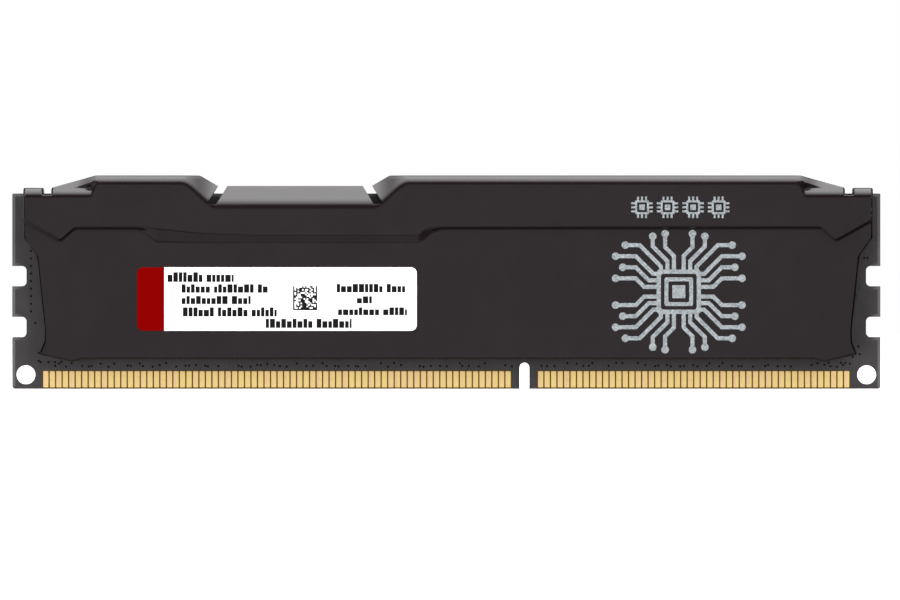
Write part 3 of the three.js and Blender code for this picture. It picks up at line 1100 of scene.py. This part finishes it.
EMBLEM_MIDDLE = 14.9
EMBLEM_WIDTH = 0.62
PAD_RADIUS = 0.58
# One quarter of the circuit emblem: lines as points of (x, z) from its middle.
EMBLEM_LINES = [
    [(3.3, 0.75), (5.3, 0.75), (6.6, 2.05), (9.7, 2.05)],
    [(3.3, 1.75), (4.6, 1.75), (6.6, 3.75), (8.6, 3.75)],
    [(3.3, 2.75), (3.9, 2.75), (6.6, 5.45), (9.7, 5.45)],
    [(2.75, 3.3), (2.75, 3.9), (6.0, 7.15), (8.2, 7.15)],
    [(1.75, 3.3), (1.75, 4.7), (4.0, 6.95), (4.0, 8.5)],
    [(0.75, 3.3), (0.75, 5.5), (2.1, 6.85), (2.1, 8.9)],
]
# The square rings of the emblem's chip, from the middle to (outside, inside), and its core.
EMBLEM_RINGS = [(3.4, 2.75), (2.2, 1.6)]
EMBLEM_CORE = 1.0
SQUARE_ROUNDING = 0.15
LAYER_STEP = 0.0006
PRINT_EDGE = 0.006


def add_print(shape, loops, face, side, layer):
    """A thin layer of print. Each layer sits a little higher, so that no two lie in one plane."""
    top = face + PRINT_LIFT + LAYER_STEP * layer
    rings = [(0, face - SUNK), (0, top - PRINT_EDGE), (PRINT_EDGE, top)]
    shape.add(*layered(loops, rings, side))


def square(x, z, reach):
    corner = SQUARE_ROUNDING * reach
    return rounded_rectangle(x - reach, x + reach, z - reach, z + reach, corner)


def square_ring(x, z, outside, inside):
    return [square(x, z, outside), list(reversed(square(x, z, inside)))]


def add_emblem(shape, face, side):
    """A plain chip with circuit lines that fan out of it alike to all four quarters."""
    centre = SILVER_CENTRE
    layer = 0
    for mirror_x in (1, -1):
        for mirror_z in (1, -1):
            for line in EMBLEM_LINES:
                points = [(centre + mirror_x * x, EMBLEM_MIDDLE + mirror_z * z) for x, z in line]
                add_print(shape, [stroke(points, EMBLEM_WIDTH)], face, side, layer)
                add_print(shape, [circle(*points[-1], PAD_RADIUS)], face, side, layer + 1)
                layer += 2
    for ring in EMBLEM_RINGS:
        add_print(shape, square_ring(centre, EMBLEM_MIDDLE, *ring), face, side, layer)
        layer += 1
    add_print(shape, [square(centre, EMBLEM_MIDDLE, EMBLEM_CORE)], face, side, layer)


CHIP_ICON = {
    "left": 28.1, "low": 26.2, "size": 3.3, "step": 3.92, "count": 4, "frame": 1.05, "wall": 0.3,
    "core": 0.42, "pins": 3, "pin_step": 0.62, "pin_width": 0.3,
}


def add_chip_icons(shape, face, side):
    """A row of plain processor symbols: a square frame with a solid middle, and pins all round."""
    half = CHIP_ICON["size"] / 2
    frame = CHIP_ICON["frame"]
    middle_z = CHIP_ICON["low"] + half
    for i in range(CHIP_ICON["count"]):
        middle_x = SPREADER_MIDDLE + CHIP_ICON["left"] + i * CHIP_ICON["step"] + half
        ring = square_ring(middle_x, middle_z, frame, frame - CHIP_ICON["wall"])
        add_print(shape, ring, face, side, 0)
        add_print(shape, [square(middle_x, middle_z, CHIP_ICON["core"])], face, side, 0)
        for pin in range(CHIP_ICON["pins"]):
            offset = (pin - (CHIP_ICON["pins"] - 1) / 2) * CHIP_ICON["pin_step"]
            across = (offset - CHIP_ICON["pin_width"] / 2, offset + CHIP_ICON["pin_width"] / 2)
            for edge in (-1, 1):
                outward = sorted((edge * (frame - 0.05), edge * half))
                for (left, right), (low, high) in ((outward, across), (across, outward)):
                    loop = rounded_rectangle(
                        middle_x + left, middle_x + right, middle_z + low, middle_z + high, 0.02, 1
                    )
                    add_print(shape, [loop], face, side, 1)


def make_prints(silver):
    for side_name, side in SIDES.items():
        shape = Shape()
        add_emblem(shape, LOWER_FACE, side)
        add_chip_icons(shape, UPPER_FACE, side)
        name = f"silver_print_{side_name}"
        place(name, shape.mesh(name, [silver]))


# ---- Chips and small parts ----

# Each part's shape is about x = 0, z = 0. It is made from half its width and height, the distance
# of its top, and its side.
BALL_PITCH = 0.8
BALL_SQUEEZE = 0.98
BALL_COLUMNS = (-4, -3, -2, 2, 3, 4)
BALL_ROWS = range(-6, 7)
BALL_RADIUS = 0.2
BALL_LAYERS = [(0.07, 0), (0, 0.2), (-0.03, 0.5), (0, 0.8), (0.07, 1)]
STANDOFF = 0.25
SUBSTRATE = 0.2
TERMINALS = 4
TERMINAL = {"width": 0.3, "length": 0.24}
CAP_SHARE = 0.46
LEAD = {"width": 0.24, "length": 0.4, "pitch": 0.5, "thickness": 0.18}


def add_block(shape, box, corner, rings, side, material, steps=4):
    """A block with a box of (left, right, low, high), rounded corners and rings of its depth."""
    shape.add(*layered([rounded_rectangle(*box, corner, steps)], rings, side), material)


def both_ends(half, length):
    """The stretch at each end of something about 0, as (low, high)."""
    return (-half, length - half), (half - length, half)


def add_ball(shape, x, z, low, high, side, material):
    """One solder ball, pressed flat against what it joins."""
    rings = [(amount, low + share * (high - low)) for amount, share in BALL_LAYERS]
    shape.add(*layered([circle(x, z, BALL_RADIUS, 10)], rings, side), material)


def chip_shape(half_x, half_z, top, side):
    """A memory chip: a moulded body on a substrate, over its field of solder balls."""
    shape = Shape()
    under = SURFACE + STANDOFF
    box = (-half_x, half_x, -half_z, half_z)
    seam = under + SUBSTRATE
    add_block(shape, box, 0.12, [(0, seam), (0.04, top - 0.06), (0.12, top)], side, 0)
    add_block(shape, box, 0.12, [(0, under), (0, seam)], side, 1)
    for column in BALL_COLUMNS:
        for row in BALL_ROWS:
            x, z = column * BALL_PITCH, row * BALL_PITCH * BALL_SQUEEZE
            add_ball(shape, x, z, SURFACE, under, side, 2)
    return shape


def resistor_shape(half_x, half_z, top, side):
    """A resistor array: a glazed ceramic bar with four terminals down each long side."""
    shape = Shape()
    box = (-half_x, half_x, -half_z + 0.06, half_z - 0.06)
    rings = [(0, SURFACE + 0.03), (0, top - 0.06), (0.05, top - 0.03)]
    add_block(shape, box, 0.06, rings, side, 0)
    half = TERMINAL["width"] / 2
    rings = [(0, SURFACE), (0, top - 0.05), (0.04, top)]
    for column in range(TERMINALS):
        x = (column - (TERMINALS - 1) / 2) * 2 * half_x / TERMINALS
        for end in both_ends(half_z, TERMINAL["length"]):
            add_block(shape, (x - half, x + half, *end), 0.05, rings, side, 1, 3)
    return shape


def capacitor_shape(half_x, half_z, top, side):
    """A ceramic capacitor: a block with a tinned cap on each end."""
    shape = Shape()
    box = (-half_x + 0.03, half_x - 0.03, -half_z + 0.1, half_z - 0.1)
    rings = [(0.04, SURFACE + 0.02), (0, SURFACE + 0.06), (0, top - 0.08), (0.05, top - 0.03)]
    add_block(shape, box, 0.05, rings, side, 0)
    rings = [(0.03, SURFACE), (0, SURFACE + 0.06), (0, top - 0.08), (0.07, top)]
    for end in both_ends(half_z, CAP_SHARE * half_z):
        add_block(shape, (-half_x, half_x, *end), 0.09, rings, side, 1)
    return shape


def settings_shape(half_x, half_z, top, side):
    """The settings memory: a small moulded body with four flat leads at each end."""
    shape = Shape()
    box = (-half_x + 0.06, half_x - 0.06, -half_z, half_z)
    rings = [(0.03, SURFACE + 0.02), (0, SURFACE + 0.25), (0.05, top - 0.05), (0.1, top)]
    add_block(shape, box, 0.08, rings, side, 0)
    half = LEAD["width"] / 2
    lead_top = SURFACE + LEAD["thickness"]
    rings = [(0, SURFACE), (0, lead_top - 0.03), (0.03, lead_top)]
    for row in range(TERMINALS):
        z = (row - (TERMINALS - 1) / 2) * LEAD["pitch"]
        for end in both_ends(half_x, LEAD["length"]):
            add_block(shape, (*end, z - half, z + half), 0.04, rings, side, 1, 2)
    return shape


def part_mesh(name, node, builder, materials, side):
    """The mesh of a small part, as big as a CAD node."""
    low, high = box_of(node)
    width, thickness, height = high - low
    return builder(width / 2, height / 2, SURFACE + thickness, side).mesh(name, materials)


def place_part(name, mesh, node):
    low, high = box_of(node)
    centre = (low + high) / 2
    place(name, mesh, [node], (centre.x, 0, centre.z))


def make_row(kind, piece_name, count, builder, materials):
    """One detailed piece for each CAD node of a kind, on both sides, with one mesh to a side."""
    for side_name, side in SIDES.items():
        name = f"{piece_name}_{side_name}"
        mesh = part_mesh(name, f"{kind}_{side_name}_1", builder, materials, side)
        for i in range(1, count + 1):
            place_part(f"{name}_{i}", mesh, f"{kind}_{side_name}_{i}")


def make_small_parts(moulding, tin):
    chip = [moulding, chip_substrate(), tin]
    make_row("dram", "memory_chip", 8, chip_shape, chip)
    resistor = [resistor_glaze(), tin]
    make_row("resistor_array", "resistors", 8, resistor_shape, resistor)
    capacitor = [capacitor_ceramic(), tin]
    make_row("capacitor", "ceramic_capacitor", 4, capacitor_shape, capacitor)
    name = "settings_memory"
    mesh = part_mesh(name, "spd_eeprom", settings_shape, [moulding, tin], FRONT)
    place_part(name, mesh, "spd_eeprom")


TAPE_POINTS = 90
TAPE_WANDER = 0.14


def make_tapes():
    """Thermal tape, cut by hand, so its edges wander a little inside their box."""
    tape = thermal_tape()
    for side_name, side in SIDES.items():
        low, high = box_of(f"{side_name}_thermal_tape")
        near, far = sorted((abs(low.y), abs(high.y)))
        along_x = np.linspace(low.x, high.x, TAPE_POINTS)
        bottom = [(x, low.z + rng.uniform(0, TAPE_WANDER)) for x in along_x]
        top = [(x, high.z - rng.uniform(0, TAPE_WANDER)) for x in along_x[::-1]]
        rings = [(0.03, near), (0, near + 0.04), (0, far - 0.04), (0.03, far)]
        shape = Shape()
        shape.add(*layered([bottom + top], rings, side))
        name = f"adhesive_tape_{side_name}"
        place(name, shape.mesh(name, [tape]), [f"{side_name}_thermal_tape"])


# ---- The scene ----

make_camera()
make_world()
make_lights()
make_floor()
bpy.context.scene.view_settings.view_transform = "Standard"

make_board(board_lacquer(), via_hole_shade(), bare_laminate())
make_contacts(contact_gold())
make_spreaders(anodised_aluminium())
make_label()
make_prints(silver_print())
make_small_parts(chip_moulding(), solder())
make_tapes()
